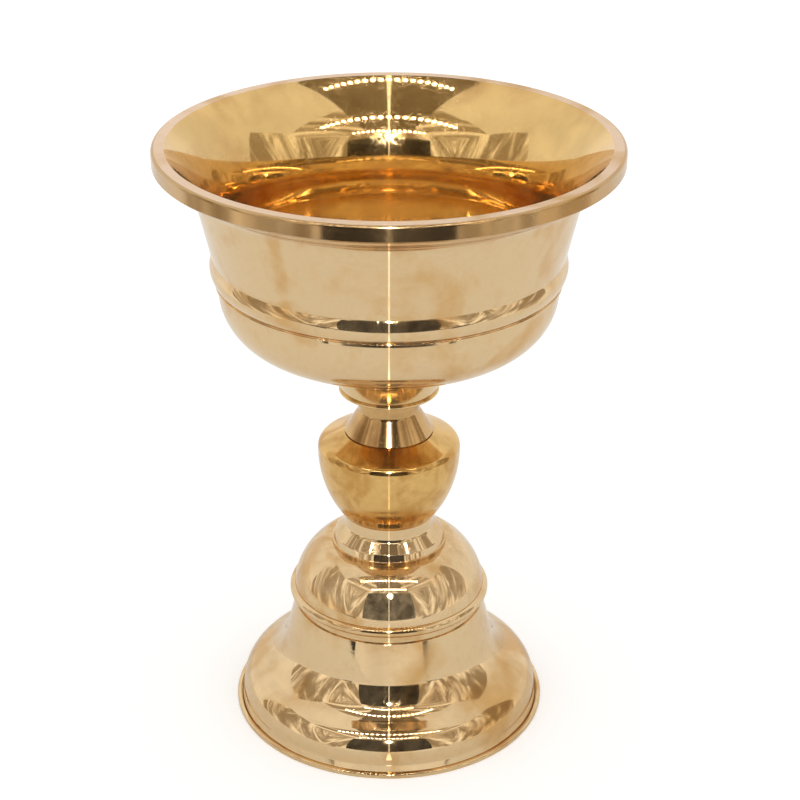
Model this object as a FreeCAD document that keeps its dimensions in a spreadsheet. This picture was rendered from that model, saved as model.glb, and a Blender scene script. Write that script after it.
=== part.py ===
import FreeCAD, Part
import math
import os
import Sketcher
from types import SimpleNamespace

# A turned brass pedestal bowl: a wide bowl with a flared lip on a stem of stacked turned pieces.
# Millimetres, +Z up, with the origin at the centre of the face that the base ring stands on.
# The stem and foot are drawn together by a threaded rod with a nut inside the hollow foot. The
# neck is screwed on the rod, and the bowl unscrews from what stands above the neck.
#
# Every turned piece is drawn in its own frame, as a half-section with its seat at height 0, and
# its Placement lifts it to its level in the stack.

DRIVING_SIZES = {
    # base ring
    "base_radius": 50.6,
    "base_height": 1.5,
    "base_bore_radius": 44.0,
    "base_edge_round": 0.5,
    "bell_seat_depth": 0.6,
    "bell_seam_gap": 0.15,
    # bell of the foot
    "bell_foot_radius": 49.2,
    "bell_skirt_radius": 48.3,
    "bell_skirt_height": 2.6,
    "bell_shoulder_height": 9.6,
    "bell_shoulder_round": 9.3,
    "bell_throat_radius": 35.4,
    "bell_throat_height": 16.7,
    "bell_throat_round": 15.7,
    "bell_waist_radius": 30.4,
    "bell_height": 35.8,
    "bell_wall": 1.8,
    "bell_top_thickness": 2.0,
    # ring with the round bead
    "ring_height": 6.2,
    "ring_band_height": 2.9,
    "ring_band_radius": 29.9,
    "ring_bead_radius": 32.2,
    "ring_bore_radius": 25.5,
    # dome of the foot
    "dome_height": 15.3,
    "dome_foot_radius": 30.7,
    "dome_top_radius": 20.9,
    "dome_round": 20.8,
    "dome_wall": 2.0,
    # steps that centre one piece on the next
    "register_height": 0.8,
    "register_gap": 0.2,
    # collar under the knop
    "collar_height": 10.5,
    "collar_rim_radius": 18.3,
    "collar_rim_height": 1.0,
    "collar_cushion_radius": 17.9,
    "collar_cushion_taper": 0.5,
    "collar_cushion_height": 3.1,
    "collar_cushion_round": 1.0,
    "collar_throat_radius": 14.2,
    "collar_throat_height": 6.4,
    "collar_throat_round": 2.0,
    # knop
    "knop_height": 28.5,
    "knop_radius": 22.45,
    "knop_foot_radius": 14.6,
    "knop_crest_height": 22.3,
    "knop_shoulder_drop": 3.3,
    "knop_shoulder_round": 2.7,
    "knop_land_radius": 14.0,
    # neck
    "neck_height": 14.0,
    "neck_foot_radius": 13.95,
    "neck_undercut_height": 0.4,
    "neck_undercut_depth": 0.8,
    "neck_radius": 9.6,
    "neck_cone_height": 7.8,
    "neck_round": 2.0,
    # fibre washer between the neck and the bush
    "seat_washer_radius": 9.0,
    "seat_washer_thickness": 0.4,
    # calyx, the small cup under the bowl
    "calyx_height": 12.9,
    "calyx_lip_radius": 15.7,
    "calyx_lip_height": 1.0,
    "calyx_lip_drop": 0.6,
    "calyx_top_radius": 23.0,
    "calyx_flare_round": 34.0,
    "calyx_wall": 2.4,
    # threaded bush soldered under the bowl
    "bush_radius": 7.5,
    "bush_bore_end_gap": 1.0,
    "thread_gap": 0.1,
    # bowl
    "rim_radius": 70.0,
    "bowl_height": 67.9,
    "bowl_wall": 2.6,
    "bowl_foot_radius": 23.6,
    "bowl_waist_radius": 52.1,
    "bowl_corner_radius": 50.8,
    "bowl_corner_height": 9.8,
    "bowl_corner_round": 17.5,
    "line_height": 24.8,
    "line_width": 0.9,
    "line_step": 0.7,
    "line_groove": 0.3,
    "bead_height": 7.4,
    "bead_foot_step": 0.3,
    "bead_top_step": 1.3,
    "bead_round": 6.0,
    "flare_width": 11.1,
    "flare_drop": 10.8,
    "flare_round": 6.0,
    "band_height": 4.6,
    "band_chamfer": 0.5,
    "lip_width": 3.9,
    "lip_edge_round": 0.9,
    "lip_roll_width": 8.7,
    "lip_roll_drop": 10.8,
    "lip_roll_round": 64.7,
    "lip_sweep_rise": 1.8,
    # rod, washers and nut
    "rod_radius": 4.0,
    "rod_chamfer": 0.8,
    "rod_hole_gap": 0.3,
    "bowl_thread_length": 10.0,
    "rod_tail": 3.0,
    "plain_washer_radius": 12.0,
    "plain_washer_thickness": 2.0,
    "spring_washer_radius": 6.6,
    "spring_washer_thickness": 2.0,
    "spring_washer_slit": 1.2,
    "nut_across_flats": 13.0,
    "nut_height": 6.5,
}

doc = FreeCAD.newDocument("pedestal_bowl")
sheet = doc.addObject("Spreadsheet::Sheet", "Sizes")


class Size:
    """A length with its number and the spreadsheet expression that it comes from."""

    def __init__(self, value, text):
        self.value = value
        self.text = text

    def __add__(self, other):
        other = as_size(other)
        return Size(self.value + other.value, f"({self.text} + {other.text})")

    def __sub__(self, other):
        other = as_size(other)
        return Size(self.value - other.value, f"({self.text} - {other.text})")

    def __mul__(self, other):
        other = as_size(other)
        return Size(self.value * other.value, f"({self.text} * {other.text})")

    def __truediv__(self, other):
        other = as_size(other)
        return Size(self.value / other.value, f"({self.text} / {other.text})")


def as_size(item):
    """Give a plain number the form of a size."""
    if isinstance(item, Size):
        return item
    return Size(float(item), f"{float(item):.6f}")


def root(size):
    """Square root of a size."""
    return Size(math.sqrt(size.value), f"sqrt({size.text})")


def direction(start, end):
    """Unit vector from one point to another."""
    run = end[0] - start[0]
    rise = end[1] - start[1]
    length = root(run * run + rise * rise)
    return (run / length, rise / length)


def inset(before, corner, after, wall):
    """Move a corner to the left of the way, so that both its stretches move by one wall."""
    way_in = direction(before, corner)
    way_out = direction(corner, after)
    alike = way_in[0] * way_out[0] + way_in[1] * way_out[1]
    share = wall / (alike + 1)
    radius = corner[0] - (way_in[1] + way_out[1]) * share
    height = corner[1] + (way_in[0] + way_out[0]) * share
    return (radius, height)


def fill_sheet():
    """Write the driving sizes to the spreadsheet and hand them back by name."""
    sizes = {}
    for row, (alias, number) in enumerate(DRIVING_SIZES.items(), start=1):
        sheet.set(f"A{row}", alias.replace("_", " "))
        sheet.set(f"B{row}", str(number))
        sheet.setAlias(f"B{row}", alias)
        sizes[alias] = Size(number, f"Sizes.{alias}")
    doc.recompute()
    return SimpleNamespace(**sizes)


ZERO = as_size(0)
HORIZONTAL_AXIS = -1
VERTICAL_AXIS = -2
START = 1
END = 2


class Outline:
    """Half-section of a turned piece, as corners joined by straight stretches and arcs.

    The sketch's x is the radius and its y is the height. A corner may be rounded, and the
    stretch that leads to a corner may be bowed. A positive bow turns left on the way to the
    corner and a negative one turns right.
    """

    def __init__(self, sketch):
        self.sketch = sketch
        self.corners = []

    def to(self, radius, height, rounding=None, bow=None):
        """Add a corner, with the radius of its rounding or of the bow that leads to it."""
        corner = SimpleNamespace(
            radius=as_size(radius),
            height=as_size(height),
            rounding=rounding,
            bow=bow,
        )
        corner.point = FreeCAD.Vector(corner.radius.value, corner.height.value, 0)
        corner.cut = 0.0
        self.corners.append(corner)
        return self

    def draw(self):
        """Draw the closed section and bind every corner and arc to the spreadsheet."""
        count = len(self.corners)
        self._cut_corners()
        stretches = []
        for index in range(count):
            here = self.corners[index]
            there = self.corners[(index + 1) % count]
            stretches.append(self._stretch(here, there))
        for index in range(count):
            corner = self.corners[index]
            if corner.rounding is None:
                self._sharp_corner(corner, stretches[index - 1], stretches[index])
            else:
                self._round_corner(corner, stretches[index - 1], stretches[index])

    def _cut_corners(self):
        """Work out how far each rounding reaches along its stretches, limited to their length."""
        count = len(self.corners)
        for index, corner in enumerate(self.corners):
            before = (self.corners[index - 1].point - corner.point).normalize()
            after = (self.corners[(index + 1) % count].point - corner.point).normalize()
            corner.half_angle = before.getAngle(after) / 2
            corner.before = before
            corner.after = after
            if corner.rounding is not None:
                corner.cut = corner.rounding.value / math.tan(corner.half_angle)
        scales = []
        for index, corner in enumerate(self.corners):
            following = self.corners[(index + 1) % count]
            wanted = corner.cut + following.cut
            room = 0.98 * corner.point.distanceToPoint(following.point)
            scales.append(min(1.0, room / wanted) if wanted > 0 else 1.0)
        for index, corner in enumerate(self.corners):
            scale = min(scales[index - 1], scales[index])
            if corner.rounding is not None and scale < 1.0:
                corner.cut *= scale
                limit = corner.cut * math.tan(corner.half_angle)
                corner.rounding = Size(limit, f"min({corner.rounding.text}; {limit:.6f})")

    def _stretch(self, here, there):
        """Draw one stretch and hand back its geometry number and its two ends in order."""
        start = here.point + here.after * here.cut
        end = there.point + there.before * there.cut
        if there.bow is None:
            number = self.sketch.addGeometry(Part.LineSegment(start, end), False)
            return SimpleNamespace(number=number, start=START, end=END)
        turns_left = there.bow.value > 0
        bow_radius = abs(there.bow.value)
        chord = end - start
        half = chord.Length / 2
        reach = math.sqrt(bow_radius ** 2 - half ** 2)
        side = FreeCAD.Vector(-chord.y, chord.x, 0).normalize()
        centre = (start + end) / 2 + side * (reach if turns_left else -reach)
        arc = self._arc(centre, bow_radius, start, end, turns_left)
        arc.start, arc.end = (START, END) if turns_left else (END, START)
        text = there.bow.text if turns_left else f"-({there.bow.text})"
        self._hold(Sketcher.Constraint("Radius", arc.number, bow_radius), text)
        return arc

    def _arc(self, centre, radius, start, end, turns_left):
        """Draw an arc about a centre, from one point to another."""
        first, last = (start, end) if turns_left else (end, start)
        first_angle = math.atan2(first.y - centre.y, first.x - centre.x)
        last_angle = math.atan2(last.y - centre.y, last.x - centre.x)
        if last_angle < first_angle:
            last_angle += 2 * math.pi
        circle = Part.Circle(centre, FreeCAD.Vector(0, 0, 1), radius)
        arc = Part.ArcOfCircle(circle, first_angle, last_angle)
        return SimpleNamespace(number=self.sketch.addGeometry(arc, False))

    def _sharp_corner(self, corner, before, after):
        """Join two stretches at a corner and hold it in place."""
        joint = Sketcher.Constraint("Coincident", before.number, before.end, after.number, after.start)
        self.sketch.addConstraint(joint)
        self._place(corner, after.number, after.start)

    def _round_corner(self, corner, before, after):
        """Join two stretches by a tangent arc and hold the corner that they aim at."""
        start = corner.point + corner.before * corner.cut
        end = corner.point + corner.after * corner.cut
        bisector = (corner.before + corner.after).normalize()
        radius = corner.rounding.value
        centre = corner.point + bisector * (radius / math.sin(corner.half_angle))
        turns_left = corner.before.cross(corner.after).z < 0
        arc = self._arc(centre, radius, start, end, turns_left)
        first, last = (START, END) if turns_left else (END, START)
        join = Sketcher.Constraint("Tangent", before.number, before.end, arc.number, first)
        self.sketch.addConstraint(join)
        join = Sketcher.Constraint("Tangent", arc.number, last, after.number, after.start)
        self.sketch.addConstraint(join)
        self._hold(Sketcher.Constraint("Radius", arc.number, radius), corner.rounding.text)
        aim = self.sketch.addGeometry(Part.Point(corner.point), True)
        self.sketch.addConstraint(Sketcher.Constraint("PointOnObject", aim, START, before.number))
        self.sketch.addConstraint(Sketcher.Constraint("PointOnObject", aim, START, after.number))
        self._place(corner, aim, START)

    def _place(self, corner, number, end):
        """Hold a point at its radius and height."""
        if corner.radius.value == 0:
            on_axis = Sketcher.Constraint("PointOnObject", number, end, VERTICAL_AXIS)
            self.sketch.addConstraint(on_axis)
        else:
            across = Sketcher.Constraint("DistanceX", -1, 1, number, end, corner.radius.value)
            self._hold(across, corner.radius.text)
        if corner.height.value == 0:
            on_seat = Sketcher.Constraint("PointOnObject", number, end, HORIZONTAL_AXIS)
            self.sketch.addConstraint(on_seat)
        else:
            upward = Sketcher.Constraint("DistanceY", -1, 1, number, end, corner.height.value)
            self._hold(upward, corner.height.text)

    def _hold(self, constraint, text):
        """Add a constraint and bind its value to an expression."""
        index = self.sketch.addConstraint(constraint)
        self.sketch.setExpression(f"Constraints[{index}]", text)


def origin_plane(body, role):
    """Find one of the body's own origin planes."""
    for feature in body.Origin.OriginFeatures:
        if feature.Role == role:
            return feature
    raise RuntimeError(f"{body.Label} has no {role}")


def turned_body(name, level):
    """Make an empty body at its level in the stack, with a sketch for its half-section."""
    body = doc.addObject("PartDesign::Body", name)
    body.Label = name
    body.setExpression("Placement.Base.z", level.text)
    sketch = body.newObject("Sketcher::SketchObject", f"{name}_section")
    sketch.AttachmentSupport = (origin_plane(body, "XZ_Plane"), [""])
    sketch.MapMode = "FlatFace"
    return body, Outline(sketch)


def revolve(body, outline):
    """Draw the half-section and turn it about the axis."""
    outline.draw()
    turning = body.newObject("PartDesign::Revolution", f"{body.Name}_turned")
    turning.Profile = outline.sketch
    turning.ReferenceAxis = (outline.sketch, ["V_Axis"])
    turning.Angle = 360
    body.Tip = turning
    outline.sketch.Visibility = False
    return body


def washer(name, level, radius, bore, thickness):
    """A flat ring."""
    body, section = turned_body(name, level)
    section.to(bore, 0).to(radius, 0).to(radius, thickness).to(bore, thickness)
    return revolve(body, section)


size = fill_sheet()

# Levels of the seats in the stack, from the ground up.
bell_level = size.base_height - size.bell_seat_depth
ring_level = bell_level + size.bell_height
dome_level = ring_level + size.ring_height
collar_level = dome_level + size.dome_height
knop_level = collar_level + size.collar_height
neck_level = knop_level + size.knop_height
seat_washer_level = neck_level + size.neck_height
calyx_level = seat_washer_level + size.seat_washer_thickness
bowl_level = calyx_level + size.calyx_height

# Levels of what hangs under the top of the bell, and the two ends of the rod.
plain_washer_level = ring_level - size.bell_top_thickness - size.plain_washer_thickness
spring_washer_level = plain_washer_level - size.spring_washer_thickness
nut_level = spring_washer_level - size.nut_height
rod_foot_level = nut_level - size.rod_tail
rod_top_level = calyx_level + size.bowl_thread_length

rod_hole_radius = size.rod_radius + size.rod_hole_gap


def make_base_ring():
    """Flat ring that the object stands on, with a rebate for the foot of the bell."""
    body, section = turned_body("base_ring", ZERO)
    seat_radius = size.bell_foot_radius + size.bell_seam_gap
    section.to(size.base_bore_radius, 0)
    section.to(size.base_radius, 0)
    section.to(size.base_radius, size.base_height, rounding=size.base_edge_round)
    section.to(seat_radius, size.base_height)
    section.to(seat_radius, bell_level)
    section.to(size.base_bore_radius, bell_level)
    return revolve(body, section)


def make_foot_bell():
    """Bell-shaped shell with a flat top, where the load of the nut is taken."""
    body, section = turned_body("foot_bell", bell_level)
    wall = size.bell_wall
    under_top = size.bell_height - size.bell_top_thickness
    register_radius = size.ring_bore_radius - size.register_gap
    register_top = size.bell_height + size.register_height
    skirt = (size.bell_skirt_radius, size.bell_skirt_height)
    shoulder = (size.bell_skirt_radius, size.bell_shoulder_height)
    throat = (size.bell_throat_radius, size.bell_throat_height)
    waist = (size.bell_waist_radius, size.bell_height)
    inner_shoulder = inset(skirt, shoulder, throat, wall)
    inner_throat = inset(shoulder, throat, waist, wall)
    section.to(size.bell_foot_radius, 0)
    section.to(*skirt)
    section.to(*shoulder, rounding=size.bell_shoulder_round)
    section.to(*throat, rounding=size.bell_throat_round)
    section.to(*waist)
    section.to(register_radius, size.bell_height)
    section.to(register_radius, register_top)
    section.to(rod_hole_radius, register_top)
    section.to(rod_hole_radius, under_top)
    section.to(size.bell_waist_radius - wall, under_top)
    section.to(*inner_throat, rounding=size.bell_throat_round + wall)
    section.to(*inner_shoulder, rounding=size.bell_shoulder_round - wall)
    section.to(size.bell_skirt_radius - wall, size.bell_skirt_height)
    section.to(size.bell_foot_radius - wall, 0)
    return revolve(body, section)


def make_bead_ring():
    """Ring between the bell and the dome, with a band below a round bead."""
    body, section = turned_body("bead_ring", ring_level)
    bead_round = (size.ring_height - size.ring_band_height) / 2 * 0.96
    register_radius = size.dome_foot_radius - size.dome_wall - size.register_gap
    register_top = size.ring_height + size.register_height
    section.to(size.ring_bore_radius, 0)
    section.to(size.ring_band_radius, 0)
    section.to(size.ring_band_radius, size.ring_band_height)
    section.to(size.ring_bead_radius, size.ring_band_height, rounding=bead_round)
    section.to(size.ring_bead_radius, size.ring_height, rounding=bead_round)
    section.to(register_radius, size.ring_height)
    section.to(register_radius, register_top)
    section.to(size.ring_bore_radius, register_top)
    return revolve(body, section)


def make_foot_dome():
    """Dome of the foot, a shell with a flat top."""
    body, section = turned_body("foot_dome", dome_level)
    under_top = size.dome_height - size.dome_wall
    inner_top_radius = size.dome_top_radius - size.dome_wall * 0.75
    section.to(size.dome_foot_radius, 0)
    section.to(size.dome_top_radius, size.dome_height, bow=size.dome_round)
    section.to(rod_hole_radius, size.dome_height)
    section.to(rod_hole_radius, under_top)
    section.to(inner_top_radius, under_top)
    section.to(
        size.dome_foot_radius - size.dome_wall, 0, bow=(size.dome_wall - size.dome_round)
    )
    return revolve(body, section)


def make_lower_collar():
    """Cushion-shaped collar between the dome and the knop."""
    body, section = turned_body("lower_collar", collar_level)
    cushion_top_radius = size.collar_cushion_radius - size.collar_cushion_taper
    section.to(rod_hole_radius, 0)
    section.to(size.collar_rim_radius, 0)
    section.to(size.collar_rim_radius, size.collar_rim_height)
    section.to(size.collar_cushion_radius, size.collar_rim_height)
    section.to(
        cushion_top_radius, size.collar_cushion_height, rounding=size.collar_cushion_round
    )
    section.to(
        size.collar_throat_radius, size.collar_throat_height, rounding=size.collar_throat_round
    )
    section.to(size.collar_throat_radius, size.collar_height)
    section.to(rod_hole_radius, size.collar_height)
    return revolve(body, section)


def make_knop():
    """Knob of the stem: a belly that swells to a crest, under a sloping shoulder."""
    body, section = turned_body("knop", knop_level)
    swell = size.knop_radius - size.knop_foot_radius
    crest = size.knop_crest_height
    # This radius makes the belly vertical at the crest.
    belly_round = (crest * crest + swell * swell) / (swell * 2)
    section.to(rod_hole_radius, 0)
    section.to(size.knop_foot_radius, 0)
    section.to(size.knop_radius, crest, bow=belly_round)
    section.to(
        size.knop_radius,
        size.knop_height - size.knop_shoulder_drop,
        rounding=size.knop_shoulder_round,
    )
    section.to(size.knop_land_radius, size.knop_height)
    section.to(rod_hole_radius, size.knop_height)
    return revolve(body, section)


def make_neck_cone():
    """Neck, screwed on the rod, with an undercut where it meets the knop."""
    body, section = turned_body("neck_cone", neck_level)
    undercut_radius = size.neck_foot_radius - size.neck_undercut_depth
    section.to(size.rod_radius, 0)
    section.to(undercut_radius, 0)
    section.to(undercut_radius, size.neck_undercut_height)
    section.to(size.neck_foot_radius, size.neck_undercut_height)
    section.to(size.neck_radius, size.neck_cone_height, rounding=size.neck_round)
    section.to(size.neck_radius, size.neck_height)
    section.to(size.rod_radius, size.neck_height)
    return revolve(body, section)


def make_calyx():
    """Small flared cup under the bowl, with a rounded lip and a hole for the bush."""
    body, section = turned_body("calyx", calyx_level)
    lip_foot_radius = size.calyx_lip_radius - size.calyx_lip_drop
    lip_round = size.calyx_lip_height / 2 * 0.96
    inner_foot_radius = lip_foot_radius - size.calyx_wall
    section.to(size.bush_radius, 0)
    section.to(size.calyx_lip_radius, 0, rounding=lip_round)
    section.to(size.calyx_lip_radius, size.calyx_lip_height, rounding=lip_round)
    section.to(lip_foot_radius, size.calyx_lip_height)
    section.to(size.calyx_top_radius, size.calyx_height, bow=ZERO - size.calyx_flare_round)
    section.to(size.calyx_top_radius - size.calyx_wall, size.calyx_height)
    section.to(
        inner_foot_radius, size.calyx_wall, bow=size.calyx_flare_round + size.calyx_wall
    )
    section.to(size.bush_radius, size.calyx_wall)
    return revolve(body, section)


def make_boss_bush():
    """Bush under the bowl, with a blind threaded bore for the top of the rod."""
    body, section = turned_body("boss_bush", calyx_level)
    bore_radius = size.rod_radius + size.thread_gap
    bore_depth = size.bowl_thread_length + size.bush_bore_end_gap
    section.to(bore_radius + size.rod_chamfer, 0)
    section.to(size.bush_radius, 0)
    section.to(size.bush_radius, size.calyx_height)
    section.to(0, size.calyx_height)
    section.to(0, bore_depth)
    section.to(bore_radius, bore_depth)
    section.to(bore_radius, size.rod_chamfer)
    return revolve(body, section)


def make_bowl():
    """Bowl with a rounded corner, fine lines, a bead and a lip that flares to a flat band."""
    body, section = turned_body("bowl", bowl_level)
    line_radius = size.bowl_waist_radius + size.line_step
    line_top = size.line_height + size.line_width
    bead_foot_radius = size.bowl_waist_radius + size.bead_foot_step
    bead_foot = line_top + size.line_groove
    bead_top_radius = size.bowl_waist_radius + size.bead_top_step
    bead_top = bead_foot + size.bead_height
    flare_radius = size.rim_radius - size.flare_width
    flare_height = size.bowl_height - size.flare_drop
    band_foot = size.bowl_height - size.band_height
    floor_corner_radius = size.bowl_corner_radius - size.bowl_wall
    underside_run = size.bowl_corner_radius - size.bowl_foot_radius
    underside_rise = size.bowl_corner_height
    underside_length = root(underside_run * underside_run + underside_rise * underside_rise)
    floor_corner_lift = size.bowl_wall * (underside_length - underside_rise) / underside_run
    section.to(0, 0)
    section.to(size.bowl_foot_radius, 0)
    section.to(
        size.bowl_corner_radius, size.bowl_corner_height, rounding=size.bowl_corner_round
    )
    section.to(size.bowl_waist_radius, size.line_height)
    section.to(line_radius, size.line_height)
    section.to(line_radius, line_top)
    section.to(bead_foot_radius, line_top)
    section.to(bead_foot_radius, bead_foot)
    section.to(bead_top_radius, bead_top, bow=size.bead_round)
    section.to(flare_radius, flare_height, rounding=size.flare_round)
    section.to(size.rim_radius - size.band_chamfer, band_foot - size.band_chamfer)
    section.to(size.rim_radius, band_foot)
    section.to(size.rim_radius, size.bowl_height, rounding=size.lip_edge_round)
    lip_edge_radius = size.rim_radius - size.lip_width
    # The inside rolls in from the lip, then sweeps down to the wall behind the bead.
    roll_radius = lip_edge_radius - size.lip_roll_width
    roll_height = size.bowl_height - size.lip_roll_drop
    sweep_radius = bead_top_radius - size.bowl_wall
    sweep_run = roll_radius - sweep_radius
    sweep_fall = roll_height - bead_top
    chord_square = sweep_run * sweep_run + sweep_fall * sweep_fall
    sweep_round = chord_square / (size.lip_sweep_rise * 8) + size.lip_sweep_rise / 2
    section.to(lip_edge_radius, size.bowl_height)
    section.to(roll_radius, roll_height, bow=size.lip_roll_round)
    section.to(sweep_radius, bead_top, bow=sweep_round)
    section.to(
        floor_corner_radius,
        size.bowl_corner_height + floor_corner_lift,
        rounding=size.bowl_corner_round - size.bowl_wall,
    )
    section.to(size.bowl_foot_radius, size.bowl_wall)
    section.to(0, size.bowl_wall)
    return revolve(body, section)


def make_tie_rod():
    """Rod through the stem, from below the nut to the top of the bowl's thread."""
    body, section = turned_body("tie_rod", rod_foot_level)
    length = rod_top_level - rod_foot_level
    chamfer_radius = size.rod_radius - size.rod_chamfer
    section.to(0, 0)
    section.to(chamfer_radius, 0)
    section.to(size.rod_radius, size.rod_chamfer)
    section.to(size.rod_radius, length - size.rod_chamfer)
    section.to(chamfer_radius, length)
    section.to(0, length)
    return revolve(body, section)


def make_spring_washer():
    """Ring with a slit, squeezed flat under the nut."""
    ring = washer(
        "spring_ring",
        spring_washer_level,
        size.spring_washer_radius,
        rod_hole_radius,
        size.spring_washer_thickness,
    )
    slit = doc.addObject("Part::Box", "spring_slit")
    slit.setExpression("Length", (size.spring_washer_radius * 2).text)
    slit.setExpression("Width", size.spring_washer_slit.text)
    slit.setExpression("Height", (size.spring_washer_thickness * 3).text)
    slit.setExpression("Placement.Base.y", (size.spring_washer_slit / -2).text)
    middle = spring_washer_level - size.spring_washer_thickness
    slit.setExpression("Placement.Base.z", middle.text)
    split = doc.addObject("Part::Cut", "spring_washer")
    split.Base = ring
    split.Tool = slit
    split.Label = "spring_washer"
    return split


def make_hex_nut():
    """Hexagon nut with both ends turned down at its corners."""
    across_corners = size.nut_across_flats * (2 / math.sqrt(3))
    corner_radius = across_corners / 2
    flat_radius = size.nut_across_flats / 2
    # Both end faces are turned down at thirty degrees from the circle that fits the flats.
    turn_down = (corner_radius - flat_radius) * math.tan(math.radians(30))
    blank, section = turned_body("nut_blank", nut_level)
    section.to(size.rod_radius, 0)
    section.to(flat_radius, 0)
    section.to(corner_radius, turn_down)
    section.to(corner_radius, size.nut_height - turn_down)
    section.to(flat_radius, size.nut_height)
    section.to(size.rod_radius, size.nut_height)
    revolve(blank, section)
    hexagon = doc.addObject("Part::Prism", "nut_hexagon")
    hexagon.Polygon = 6
    hexagon.setExpression("Circumradius", corner_radius.text)
    hexagon.setExpression("Height", size.nut_height.text)
    hexagon.setExpression("Placement.Base.z", nut_level.text)
    nut = doc.addObject("Part::Common", "hex_nut")
    nut.Base = hexagon
    nut.Tool = blank
    nut.Label = "hex_nut"
    return nut


def make_pieces():
    """Make every piece of the object."""
    return [
        make_base_ring(),
        make_foot_bell(),
        make_bead_ring(),
        make_foot_dome(),
        make_lower_collar(),
        make_knop(),
        make_neck_cone(),
        washer(
            "seat_washer",
            seat_washer_level,
            size.seat_washer_radius,
            rod_hole_radius,
            size.seat_washer_thickness,
        ),
        make_calyx(),
        make_boss_bush(),
        make_bowl(),
        make_tie_rod(),
        washer(
            "plain_washer",
            plain_washer_level,
            size.plain_washer_radius,
            rod_hole_radius,
            size.plain_washer_thickness,
        ),
        make_spring_washer(),
        make_hex_nut(),
    ]


def check_document():
    """Stop if any object of the document failed to build."""
    for item in doc.Objects:
        if "Invalid" in item.State or "Error" in item.State:
            raise RuntimeError(f"{item.Label} failed to build: {item.State}")


def check_piece(piece):
    """Stop if a piece is empty, is broken or isn't one solid."""
    shape = piece.Shape
    if shape.isNull() or not shape.isValid():
        raise RuntimeError(f"{piece.Label} has no valid shape")
    if len(shape.Solids) != 1:
        raise RuntimeError(f"{piece.Label} has {len(shape.Solids)} solids")


pieces = make_pieces()
doc.recompute()
check_document()
os.makedirs("parts", exist_ok=True)
for piece in pieces:
    check_piece(piece)
for piece in pieces:
    piece.Shape.exportStep(os.path.join("parts", f"{piece.Label}.step"))
    box = piece.Shape.optimalBoundingBox()
    print(f"{piece.Label}: {piece.Shape.Volume:.1f} mm3, z {box.ZMin:.2f} to {box.ZMax:.2f}")
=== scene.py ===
"""Looks of a turned brass pedestal bowl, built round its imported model.

Lengths are in metres, in the frame of the model: +Z is up, and the origin is at the centre of
the face that the base ring stands on. Every turned piece is drawn as a half-section from its
own seat, and lifted to the height at which the model has that seat.
"""

import logging
import math
from dataclasses import dataclass, field
from enum import Enum
from typing import Callable, Optional, Sequence, Union

import bpy
import numpy as np
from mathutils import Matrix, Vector


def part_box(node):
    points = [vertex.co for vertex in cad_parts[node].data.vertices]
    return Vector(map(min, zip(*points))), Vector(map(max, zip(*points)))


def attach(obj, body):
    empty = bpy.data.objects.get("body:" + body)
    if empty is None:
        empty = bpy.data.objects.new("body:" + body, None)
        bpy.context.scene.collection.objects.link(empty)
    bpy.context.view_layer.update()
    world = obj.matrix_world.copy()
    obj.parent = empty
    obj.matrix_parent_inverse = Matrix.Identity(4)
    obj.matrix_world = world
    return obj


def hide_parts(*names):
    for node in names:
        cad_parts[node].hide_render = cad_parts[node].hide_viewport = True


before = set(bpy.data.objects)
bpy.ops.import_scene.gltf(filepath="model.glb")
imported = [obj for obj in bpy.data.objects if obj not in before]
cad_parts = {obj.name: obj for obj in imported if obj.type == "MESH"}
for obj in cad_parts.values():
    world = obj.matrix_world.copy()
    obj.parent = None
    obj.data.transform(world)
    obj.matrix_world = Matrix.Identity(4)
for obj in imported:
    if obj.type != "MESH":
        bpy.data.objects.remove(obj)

logging.basicConfig(level=logging.INFO, format="%(message)s")
log = logging.getLogger("pedestal_bowl")

Colour = tuple[float, float, float]
Value = Union[float, Colour, Sequence[float], bpy.types.NodeSocket]
Corners = list[tuple[float, float, float]]
Keep = Callable[[np.ndarray, np.ndarray, "Zone"], None]

FACET_SAG = 2.5e-6
FACET_TURN = math.radians(3.0)
FACET_LENGTH = 0.006


class Zone(Enum):
    """Parts of a turned surface that are finished differently."""

    MAIN = 0
    BAND = 1
    LIP = 2
    INSIDE = 3


class Body(Enum):
    """Bodies of the model that pieces ride on."""

    STAND = "stand"
    SEAT = "seat"
    BOWL = "bowl"


# ---------------------------------------------------------------- turned shapes


@dataclass
class Corner:
    """A corner of a half-section and the stretch that leads to it."""

    radius: float
    height: float
    rounding: float
    bow: Optional[float]
    zone: Zone

    @property
    def point(self) -> np.ndarray:
        """Radius and height as a vector."""
        return np.array((self.radius, self.height))


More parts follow.
